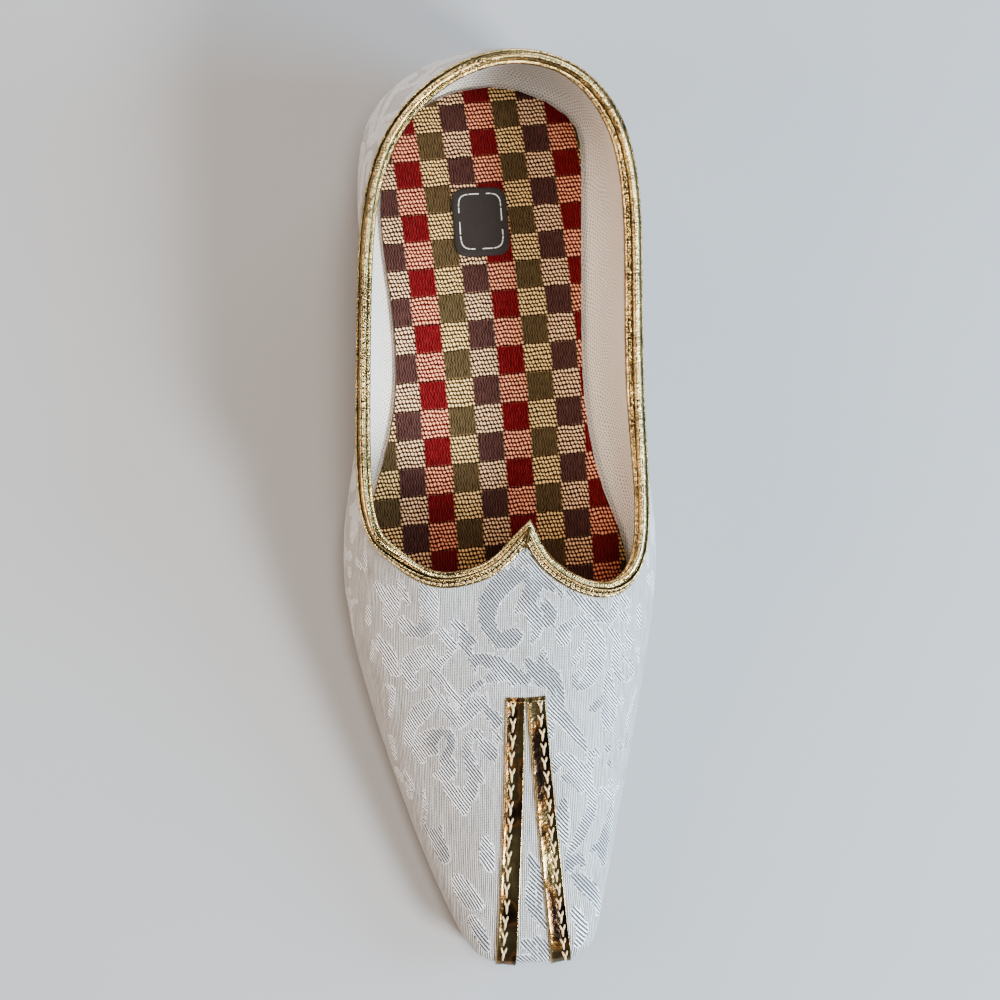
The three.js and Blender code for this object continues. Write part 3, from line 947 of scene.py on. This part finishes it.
def sweepTrim(name, profile, ripple):
    # profile rows are (across, climb, hug); ripple gives a small lift at a mark and place on the profile
    rows = []
    for f in frames:
        row = []
        for k, (across, climb, hug) in enumerate(profile):
            da, dc = ripple(f["mark"] * 1000, k)
            if name == "collarBinding":  # the medial side's binding is fuller and reaches further down
                x, y = f["spot"].x / mm, f["spot"].y / mm
                deeper = min(1, max(0, x - 20) / 14) * min(1, max(0, (y + 5) / 30))
                da += 0.85 * deeper * max(0, across - 2.1)
                if climb < -1:
                    dc -= 3 * deeper + 0.5 * deeper * cloudAt(Vector((f["mark"] * 500, 0, 5)))
            row.append(trimPoint(f, across + da, climb + dc, hug))
        rows.append(row)
    for k in range(len(profile)):  # mitre both ends on the seam's plane
        sides = [(row[k] - peakSpot).dot(seamNormal) for row in rows]
        first = max((i for i in range(mitreReach) if sides[i] < 0), default=None)
        last = min((i for i in range(len(rows) - mitreReach, len(rows)) if sides[i] > 0), default=None)
        for end, inward in ((first, 1), (last, -1)):
            if end is None:
                continue
            share = sides[end] / (sides[end] - sides[end + inward])
            cut = rows[end][k].lerp(rows[end + inward][k], share)
            for i in range(end + 1) if inward > 0 else range(end, len(rows)):
                rows[i][k] = cut.copy()
    piece = netOf(name, rows)
    layer = piece.data.uv_layers.new(name="cloth")
    width = len(profile)
    girth = arcLengths([Vector((a, c, 0)) for a, c, hug in profile])
    for loop in piece.data.loops:
        i, k = divmod(loop.vertex_index, width)
        layer.data[loop.index].uv = (frames[i]["mark"], girth[k] * mm)
    editAll(piece)
    bpy.ops.mesh.remove_doubles(threshold=0.004 * mm)
    leaveEdit()
    return piece


def goldFinish(name, light, dark, rough, crinkle, clear, holes=None):
    gold = Finish(name, Metallic=1.0)
    u, v = gold.cloth()
    spot = gold.vector(u, v)
    fine = gold.clouds(spot, 1.3, 3.0, 0.6)
    folds = gold.clouds(gold.vector(u * 1.4, v * 0.5), 0.8, 2.0)
    broad = gold.clouds(spot, 0.09, 2.0)
    tone = fine * 0.45 + folds * 0.3 + broad * 0.35
    between = [(a + b) / 2 for a, b in zip(light, dark)]
    colour = gold.ramp(tone, [(0.42, dark), (0.52, between), (0.62, light)])
    height = fine * 0.5 + folds * crinkle
    low, high = clear  # painted shade in the grooves outside these lines
    paintedGrooveShade = 1 - v.ease(low - 0.35, low + 0.15) * (1 - v.ease(high - 0.15, high + 0.35))
    colour = gold.mix(paintedGrooveShade * 0.95, colour, [c * 0.2 for c in dark])
    seeds = u.wave(0.78, v * 2.0) * v.wave(1.1).ease(0.35, 0.8)
    colour = gold.mix(seeds * 0.35, colour, [c * 0.5 for c in dark])
    height = height - seeds * 0.5
    if holes:
        pitch, line, width = holes
        spread = ((u / pitch).fraction() - 0.5) * pitch
        off = v - line
        hole = 1 - (spread * spread * 1.7 + off * off * 5).ease(0.08, 0.3)
        ditch = 1 - off.size().ease(0.1, width)
        # painted shade in the stitch channel, and painted shadow in the stitch holes
        colour = gold.mix(ditch * 0.35, colour, [c * 0.45 for c in dark])
        colour = gold.mix(hole * 0.9, colour, (0.012, 0.006, 0.002))
        height = height - ditch * 0.8 - hole * 1.2
    gold.into("Base Color", colour)
    gold.into("Roughness", rough + fine * 0.16 - broad * 0.06 + paintedGrooveShade * 0.3)
    gold.relief(height, 0.0003, 0.9)
    return gold.material


collar = {
    "band": [(0.0, -2.0, 1), (-0.34, -1.95, 1), (-0.54, -1.75, 1), (-0.60, -1.3, 1), (-0.50, -0.95, 1),
             (-0.40, -0.7, 1), (-0.50, -0.45, 1), (-0.66, -0.15, 1), (-0.85, 0.1, 0), (-0.92, 0.4, 0),
             (-0.75, 0.62, 0), (-0.45, 0.62, 0), (-0.15, 0.35, 0), (0.1, 0.1, 0)],
    "roll": [(0.0, 0.1, 0), (-0.12, 0.6, 0), (-0.05, 1.2, 0), (0.2, 1.75, 0), (0.7, 2.15, 0),
             (1.3, 2.2, 0), (1.8, 1.9, 0), (2.1, 1.4, 0), (2.15, 0.8, 0), (2.0, 0.4, 0)],
    "binding": [(1.95, 0.3, 0), (2.1, 0.9, 0), (2.4, 1.25, 0), (2.8, 1.2, 0), (3.1, 0.85, 0),
                (3.22, 0.4, 0), (3.2, -0.1, 0), (3.05, -0.7, 0), (2.85, -1.4, 1), (2.6, -2.2, 1),
                (2.5, -3.0, 1), (2.44, -3.8, 1), (2.36, -4.4, 1), (2.0, -4.6, 1)],
}


def wrinkles(size, seed, pitch=1.0):
    def ripple(mark, k):
        a = cloudAt(Vector((mark * 0.9 / pitch, k * 0.55, seed)))
        b = cloudAt(Vector((mark * 2.3 / pitch, k * 0.9, seed + 9)))
        return size * (a + 0.5 * b), size * 0.6 * b
    return ripple


def makeStitchLine(name, profile, pitch, long, thick, sway, material):
    # short stitches lying along the collar; profile is the (across, climb, hug) they run on
    across, climb, hug = profile
    threads = []
    length = frames[-1]["mark"] * 1000 - 10
    for n in range(int(length / pitch)):
        swing = sway * math.sin(n * math.pi + 0.4 * math.sin(n * 1.7))
        bar = []
        for t in (0, 0.2, 0.5, 0.8, 1):
            f = frames[min(len(frames) - 1, lead + int((1 + n * pitch + t * long) / frameStep))]
            lift = 0.1 + thick * 1.1 * math.sin(math.pi * (0.1 + 0.8 * t))
            rise = climb + swing * (1 - 2 * t)
            bar.append(trimPoint(f, across - lift if across < 1 else across + lift, rise, hug))
        threads.append(tubeAlong(bar, thick, 5))
    finishPiece(joined(name, threads), material, "gold_piping")


def makeSeam(material):
    # the folded seam where both ends of the collar meet below the peak
    first, last = frames[lead], frames[-1 - lead]
    down = -(first["climb"] + last["climb"]).normalized()
    spots = []
    for t in np.linspace(-1.9, 5.2, 16):
        base = peakSpot + down * t * mm
        if t > 0.5:
            near, normal = nearest(skinTree, base)
            base = near + normal * 0.62 * mm
        else:
            base = base - (first["wide"] + last["wide"]).normalized() * 0.75 * mm
        spots.append(base)
    spots = smoothed(spots, 1)
    rows = tubeAlong(spots, lambda i: 0.18 + 0.38 * math.sin(math.pi * min(1, (i + 1.5) / 14) ** 0.7), 8)
    finishPiece(joined("collarSeam", [rows]), material, "gold_piping")


def makeCollar():
    paleGold = (0.46, 0.335, 0.14)
    band = sweepTrim("collarBand", collar["band"], wrinkles(0.07, 1))
    bandGold = goldFinish("bandGold", paleGold, (0.022, 0.012, 0.003), 0.15, 0.8, (0.45, 3.5),
                          (1.5, 1.75, 0.5))
    finishPiece(band, bandGold, "gold_piping")
    roll = sweepTrim("collarRoll", collar["roll"], wrinkles(0.06, 2))
    rollGold = goldFinish("rollGold", paleGold, (0.035, 0.02, 0.006), 0.07, 0.6, (1.0, 4.4))
    finishPiece(roll, rollGold, "gold_piping", "collar_piping")
    binding = sweepTrim("collarBinding", collar["binding"], wrinkles(0.12, 3, 0.8))
    bindingGold = goldFinish("bindingGold", (0.50, 0.345, 0.13), (0.03, 0.015, 0.004), 0.08, 1.6,
                             (0.5, 9.5), (1.6, 3.3, 0.35))
    finishPiece(binding, bindingGold, "gold_piping")
    stitchGold = threadFinish("stitchGold", (0.66, 0.48, 0.21), (0.28, 0.17, 0.05))
    makeStitchLine("collarStitches", (-0.46, -0.75, 1), 1.5, 1.15, 0.2, 0.2, stitchGold)
    makeSeam(rollGold)


makeCollar()
print("collar made")


# toe strips, laid on the cloth from their square top ends down over the toe

toeStrips = [
    {"name": "toeStripLateral", "node": "toe_strip_lateral", "line": -0.75, "pitch": 4.6, "seed": 4,
     "ends": (1.0, -3.8), "bow": 1.6},
    {"name": "toeStripMedial", "node": "toe_strip_medial", "line": 0.75, "pitch": 3.95, "seed": 8,
     "ends": (6.45, 12.8), "bow": -1.75},
]
stripRun = {"top": -57.4, "toe": -135.4, "step": 0.5, "bend": -119, "end": 11.4}


def stripPath(spec):
    # centre line on the cloth, marched from the square top end down over the toe
    def middle(y):
        t = (stripRun["top"] - y) / (stripRun["top"] - stripRun["toe"])
        return spec["ends"][0] + (spec["ends"][1] - spec["ends"][0]) * t + spec["bow"] * t * (1 - t)

    step = stripRun["step"]
    spots, y = [], stripRun["top"]
    while y > stripRun["bend"]:
        hit, normal, face = plumb(skinTree, middle(y), y)
        spots.append((hit, normal))
        y -= step * normal.z
    side = Vector((1, (middle(-120) - middle(-118)) / 2, 0)).normalized()
    while spots[-1][0].z > stripRun["end"] * mm and len(spots) < 240:
        near, normal = spots[-1]
        ahead = side.cross(normal).normalized()
        ahead = ahead if ahead.dot(near - spots[-6][0]) > 0 else -ahead
        spots.append(nearest(skinTree, near + ahead * step * mm))
    return spots


def stripFrames(spec):
    path = stripPath(spec)
    places = smoothed([p for p, n in path], 3)
    normals = [n.normalized() for n in smoothed([n for p, n in path], 4, False)]
    result = []
    for i, (spot, normal) in enumerate(zip(places, normals)):
        ahead = (places[min(i + 2, len(places) - 1)] - places[max(i - 2, 0)]).normalized()
        side = ahead.cross(normal).normalized()
        side = side if side.x > 0 else -side
        result.append({"spot": spot, "side": side, "normal": normal, "ahead": ahead})
    return result


def onStrip(layout, i, across, lift):
    # a point on the strip's surface: i is the row, across and lift in millimetres
    i = min(max(i, 0), len(layout) - 1.001)
    a, b, t = layout[int(i)], layout[int(i) + 1], i - int(i)
    spot = a["spot"].lerp(b["spot"], t) + a["side"].lerp(b["side"], t) * across * mm
    near, normal = nearest(skinTree, spot)
    return near + a["normal"].lerp(b["normal"], t).normalized() * lift * mm


def stripFinish(name, seed):
    gold = Finish(name, Metallic=0.95, IOR=1.5, Coat_Weight=0.3, Coat_Roughness=0.06)
    u, v = gold.cloth()
    spot = gold.vector(u, v, seed * 10.0)
    fine = gold.clouds(spot, 1.5, 3.0, 0.6)
    hammer = gold.clouds(spot, 0.5, 2.0)
    reflectionPatches = gold.clouds(gold.vector(u * 0.5, v * 0.9, seed * 7.0), 0.17, 1.5, 0.5)
    tone = reflectionPatches * 0.92 + fine * 0.06 + hammer * 0.08 + u * 0.001
    # painted reflection: the dark brown, orange and olive patches, lighter down the strip, stand for
    # what the mirror-bright strip reflects
    colour = gold.ramp(tone, [(0.42, (0.010, 0.005, 0.002)), (0.48, (0.04, 0.017, 0.005)),
                              (0.53, (0.17, 0.075, 0.016)), (0.57, (0.06, 0.038, 0.013)),
                              (0.68, (0.10, 0.073, 0.028)), (0.8, (0.22, 0.155, 0.055))])
    # painted highlight along both folded edges
    paintedEdgeHighlight = 1 - v.ease(0.9, 1.5) * (1 - v.ease(6.0, 6.6))
    colour = gold.mix(paintedEdgeHighlight * 0.8, colour, (0.42, 0.29, 0.10))
    gold.into("Base Color", colour)
    gold.into("Roughness", 0.12 + fine * 0.12)
    gold.relief(fine * 0.12 + hammer, 0.0005, 0.4)
    return gold.material


def makeStrip(spec):
    layout = stripFrames(spec)
    rows, count = [], len(layout)
    line = spec["line"]
    for i in range(count):
        half = 2.6 + 0.35 * (i / count) ** 1.5
        end = min(1.0, (i + 0.2) / 2.0)
        tail = min(1.0, (count - 1 - i + 0.2) / 3.0)
        thick = 0.25 + 0.75 * end * tail
        pucker = 0.10 * math.sin(i * stripRun["step"] / spec["pitch"] * 2 * math.pi)
        profile = [(-half, 0.02), (-half - 0.08, 0.4), (-half + 0.08, 0.82), (-half + 0.36, 0.95),
                   (-half + 0.75, 0.74), (line - 0.6, 0.64), (line, 0.46 + pucker * 0.4),
                   (line + 0.6, 0.64),
                   (half - 0.75, 0.74), (half - 0.36, 0.95), (half - 0.08, 0.82), (half + 0.08, 0.4),
                   (half, 0.02)]
        row = []
        for k, (across, lift) in enumerate(profile):
            bump = 0.09 * cloudAt(Vector((i * 0.16, k * 0.6, spec["seed"]))) * (0.2 < lift < 0.8)
            row.append(onStrip(layout, i, across, (lift + bump) * thick))
        rows.append(row)
    piece = netOf(spec["name"], rows)
    layer = piece.data.uv_layers.new(name="cloth")
    width = len(rows[0])
    girth = arcLengths(rows[count // 2])
    for loop in piece.data.loops:
        i, k = divmod(loop.vertex_index, width)
        layer.data[loop.index].uv = (i * stripRun["step"] * mm, girth[k])
    subdivide(piece, 1)
    if sum(face.normal.z for face in piece.data.polygons) < 0:
        piece.data.flip_normals()
    finishPiece(piece, stripFinish(spec["name"] + "Gold", spec["seed"]), "gold_strip", spec["node"])
    return layout


def makeChain(spec, layout, material):
    threads = []
    pitch = spec["pitch"] / stripRun["step"]
    links = int((len(layout) - 4) / pitch)
    for n in range(links):
        start = 1.5 + n * pitch
        line = spec["line"] * (1 + 0.35 * n / links) + 0.12 * math.sin(n * 2.4 + spec["seed"])
        for hand in (-1, 1):  # the two prongs of the fork, then its stem
            prong = [onStrip(layout, start + (0.40 - 0.34 * t) * pitch,
                             line + hand * (0.12 + 0.62 * t ** 0.8),
                             0.95 + 0.12 * math.sin(math.pi * t) - 0.25 * t * t)
                     for t in (0, 0.3, 0.6, 0.85, 1)]
            threads.append(tubeAlong(prong, lambda i: (0.3, 0.3, 0.27, 0.22, 0.12)[i]))
        stem = [onStrip(layout, start + (0.34 + 0.58 * t) * pitch, line + 0.1 * math.sin(3 * t + n),
                        0.78 + 0.34 * math.sin(math.pi * min(1, t + 0.12)))
                for t in (0, 0.2, 0.4, 0.6, 0.8, 1)]
        threads.append(tubeAlong(stem, lambda i: (0.3, 0.36, 0.36, 0.32, 0.26, 0.14)[i]))
    finishPiece(joined(spec["name"] + "Chain", threads), material, "gold_strip")


chainThread = threadFinish("goldThread", (0.62, 0.44, 0.19), (0.26, 0.15, 0.045))
for spec in toeStrips:
    layout = makeStrip(spec)
    makeChain(spec, layout, chainThread)
print("toe strips and their chain stitches made")


# insole: a coarse check of solid ribbed cells and basket cells in three warps

weave = {
    "cell": (7.85, 8.17),
    "start": (19.2, 3.08),
    "lean": (0.025, 0.00038),
    "slope": 0.064,
    # each row is for the red, the olive and the brown warp
    "solid": [(0.100, 0.0008, 0.0028), (0.060, 0.041, 0.0165), (0.046, 0.0180, 0.0150)],
    "dots": [(0.95, 0.34, 0.19), (0.94, 0.64, 0.25), (0.96, 0.62, 0.35)],
    "gaps": [(0.040, 0.0026, 0.0016), (0.020, 0.0095, 0.003), (0.017, 0.005, 0.003)],
}


def insoleFinish():
    check = Finish("checkWeave", Specular_IOR_Level=0.04)
    x, y, z = check.place()
    spot = check.vector(x, y)
    wobble = check.clouds(spot, 0.3, 2.0) - 0.5
    fray = check.clouds(spot, 2.0, 2.0) - 0.5
    lean = y * weave["lean"][0] + y * y * weave["lean"][1]
    u = (x + lean + weave["start"][0] + wobble * 0.5) / weave["cell"][0]
    v = (y - x * weave["slope"] + weave["start"][1] + wobble * 0.6) / weave["cell"][1]
    column, row = u.floor(), v.floor()
    cu, cv = u - column, v - row
    solidCell = 1 - ((column + row) * 0.5).fraction() * 2
    edge = (cu - 0.5).size().most((cv - 0.5).size()) + fray * 0.05
    kind = (column + 30) % 3
    isOlive = 1 - (kind - 1).size().ease(0.1, 0.4)
    isBrown = kind.ease(1.6, 1.9)

    def ofColumn(colours):
        return check.mix(isBrown, check.mix(isOlive, colours[0], colours[1]), colours[2])

    solid, cream, gaps = (ofColumn(weave[part]) for part in ("solid", "dots", "gaps"))
    # solid cells: close floats with uneven dark furrows
    furrows = check.clouds(check.vector(x * 1.9 + lean * 1.9, y * 0.42), 1.0, 3.0, 0.65)
    zigzag = wobble * 1.2 + (y + fray).wave(2.1) * 0.35
    ribs = (x + lean + zigzag).wave(0.78)
    floats = furrows * 0.75 + ribs * 0.32
    furrow = check.mix(1.0, solid, (0.22, 0.18, 0.18), "MULTIPLY")
    ribbed = check.mix(floats.ease(0.34, 0.60), furrow, solid)
    # lighter where the floats stand highest
    floatTops = (floats * 1.3 + fray * 0.6).ease(0.72, 1.1)
    ribbed = check.mix(floatTops * 0.5, ribbed, check.mix(1.0, solid, (0.045, 0.022, 0.018), "ADD"))
    # basket cells: rows of short slubs, each next row set half a slub aside
    line = (cv * 7).floor()
    slide = cu * 7.6 + line * 0.36 + (row * 0.37 + column * 0.61) + fray * 0.3
    dx = slide.fraction() - 0.5
    dy = (cv * 7 + dx * 0.22 + wobble * 0.6).fraction() - 0.5
    bead = 1 - (dx * dx * 4.4 + dy * dy * 4.9 + fray * 0.35).ease(0.31, 0.90)
    bundle = check.vector(slide.floor() * 0.73, line * 1.31 + row * 3.7)
    tint = check.clouds(bundle, 1.7, 0.0) * 1.4 - 0.3
    slub = check.tinted(tint * 0.45, cream, (0.80, 0.66, 0.52))
    basket = check.mix(bead, gaps, slub)
    basket = check.mix((bead * (fray + 0.75)).ease(0.7, 1.05) * 0.6, basket, (0.93, 0.80, 0.56))
    isSolid = solidCell * (1 - edge.ease(0.45, 0.52)) + (1 - solidCell) * edge.ease(0.485, 0.53)
    colour = check.mix(isSolid, basket, ribbed)
    border = edge.ease(0.43, 0.5) * 0.35
    colour = check.tinted(border, colour, (0.42, 0.36, 0.34))
    paintedShade = y.ease(45, 105) * 0.45 + (1 - y.ease(-24, 24)) * 0.95  # painted shade: darker to the heel, and to the toe where the vamp shades the insole
    colour = check.tinted(paintedShade, colour, (0.42, 0.27, 0.2))
    tone = check.clouds(spot, 0.09, 2.0)
    colour = check.tinted(tone * 0.4, colour, (0.74, 0.70, 0.66))
    check.into("Base Color", colour)
    check.into("Roughness", 0.86 - bead * 0.12)
    height = isSolid * (0.5 + floats * 0.4) + (1 - isSolid) * bead * 0.85 - border * 0.6
    check.relief(height, 0.0007, 0.8)
    return check.material


def makeInsole():
    piece = copyOfNode("insole", "checkInsole")
    roundEdges(piece, 0.5)
    finishPiece(piece, insoleFinish(), "insole_weave", "insole")
    bpy.ops.object.shade_smooth_by_angle(angle=math.radians(40))
    return piece


insole = makeInsole()
insoleTree = treeOf(insole)
print("insole made")


# sewn patch at the heel seat, plain, with a light border

patch = {"centre": (-0.8, 83.0), "half": (8.5, 10.3), "lean": 1.5, "sides": 96, "stitches": 64}


def patchOutline(shrink):
    # a rounded rectangle with softly drawn-in sides
    points = []
    squareness, turn = 2.0 / 5.0, math.radians(patch["lean"])
    for i in range(patch["sides"]):
        a = 2 * math.pi * i / patch["sides"]
        c, s = math.cos(a), math.sin(a)
        waist = 1 - 0.05 * (1 - abs(s))
        x = (patch["half"][0] - shrink) * math.copysign(abs(c) ** squareness, c) * waist
        y = (patch["half"][1] - shrink) * math.copysign(abs(s) ** squareness, s)
        points.append((patch["centre"][0] + x * math.cos(turn) - y * math.sin(turn),
                       patch["centre"][1] + x * math.sin(turn) + y * math.cos(turn)))
    return points


def onInsole(x, y, lift):
    return plumb(insoleTree, x, y)[0] + Vector((0, 0, lift * mm))


def makePatch():
    rows = []
    for shrink, lift in ((0, -0.1), (-0.02, 0.45), (0.2, 0.78), (0.6, 0.9), (1.6, 0.88), (2.4, 0.86),
                         (4, 0.9), (6, 0.95), (7.6, 0.96)):
        rows.append([onInsole(x, y, lift) for x, y in patchOutline(shrink)])
    piece = netOf("seatPatch", rows, wrapAround=True)
    count = len(rows[0])
    faces = [tuple(p.vertices) for p in piece.data.polygons]
    faces.append(tuple(range((len(rows) - 1) * count, len(rows) * count)))
    bpy.data.objects.remove(piece)
    piece = meshOf("seatPatch", [p for row in rows for p in row], faces)
    cloth = Finish("brownPatch", Specular_IOR_Level=0.2)
    x, y, z = cloth.place()
    fuzz = cloth.clouds(cloth.vector(x, y), 2.0)
    grain = (x + y).wave(0.55) * 0.4 + (x - y).wave(0.55) * 0.4 + fuzz * 0.4
    brown = cloth.ramp(grain, [(0.2, (0.004, 0.003, 0.0025)), (1.0, (0.020, 0.013, 0.010))])
    cloth.into("Base Color", brown)
    cloth.into("Roughness", 0.75 - grain * 0.1)
    cloth.relief(grain, 0.0003, 0.6)
    finishPiece(piece, cloth.material, "insole_weave")
    threads = []
    line, each = patchOutline(2.0), patch["sides"] / patch["stitches"]
    for i in range(patch["stitches"]):
        a, b = line[int(i * each)], line[int((i + 0.86) * each) % patch["sides"]]
        stitch = []
        for t in (0, 0.25, 0.5, 0.75, 1):
            x, y = a[0] + (b[0] - a[0]) * t, a[1] + (b[1] - a[1]) * t
            stitch.append(onInsole(x, y, 0.86 + 0.2 * math.sin(math.pi * t)))
        threads.append(tubeAlong(stitch, 0.17))
    paleThread = threadFinish("paleThread", (0.82, 0.78, 0.72), (0.5, 0.46, 0.42))
    finishPiece(joined("patchStitching", threads), paleThread, "insole_weave")


makePatch()
print("patch made")


# leather sole and stacked heel

def soleFinish(name, base, layers):
    hide = Finish(name, Coat_Weight=0.08, Coat_Roughness=0.3)
    x, y, z = hide.place()
    spot = hide.vector(x, y, z)
    grain = hide.clouds(spot, 1.4, 4.0, 0.6)
    broad = hide.clouds(spot, 0.06, 2.0)
    streaks = hide.clouds(hide.vector(x * 0.2, y * 0.2, z * 3.0), 1.0, 2.0)
    tone = grain * 0.35 + broad * 0.45 + streaks * 0.25
    colour = hide.ramp(tone, [(0.3, [c * 0.55 for c in base]), (0.75, [min(1, c * 1.25) for c in base])])
    height = grain * 0.6 + streaks * 0.3
    if layers:
        seam = 1 - ((z / layers).fraction() - 0.5).size().ease(0.0, 0.09)
        colour = hide.mix(seam * 0.7, colour, [c * 0.25 for c in base])
        height = height - seam
    scuff = hide.clouds(spot, 0.3, 3.0).ease(0.55, 0.75)
    colour = hide.mix(scuff * 0.3, colour, [min(1, c * 1.6) for c in base])
    hide.into("Base Color", colour)
    hide.into("Roughness", 0.5 + grain * 0.25)
    hide.relief(height, 0.0003, 0.6)
    return hide.material


def makeSole():
    tan = (0.15, 0.076, 0.033)
    leathers = (("outsole", "leatherSole", "sole_leather", None),
                ("heel_lift", "stackedHeel", "heel_leather", 3.0))
    for node, name, slotName, layers in leathers:
        piece = copyOfNode(node, name)
        roundEdges(piece, 0.6)
        finishPiece(piece, soleFinish(name + "Hide", tan, layers), slotName, node)
        bpy.ops.object.shade_smooth_by_angle(angle=math.radians(35))


makeSole()
print("sole and heel made")

print("all pieces made")
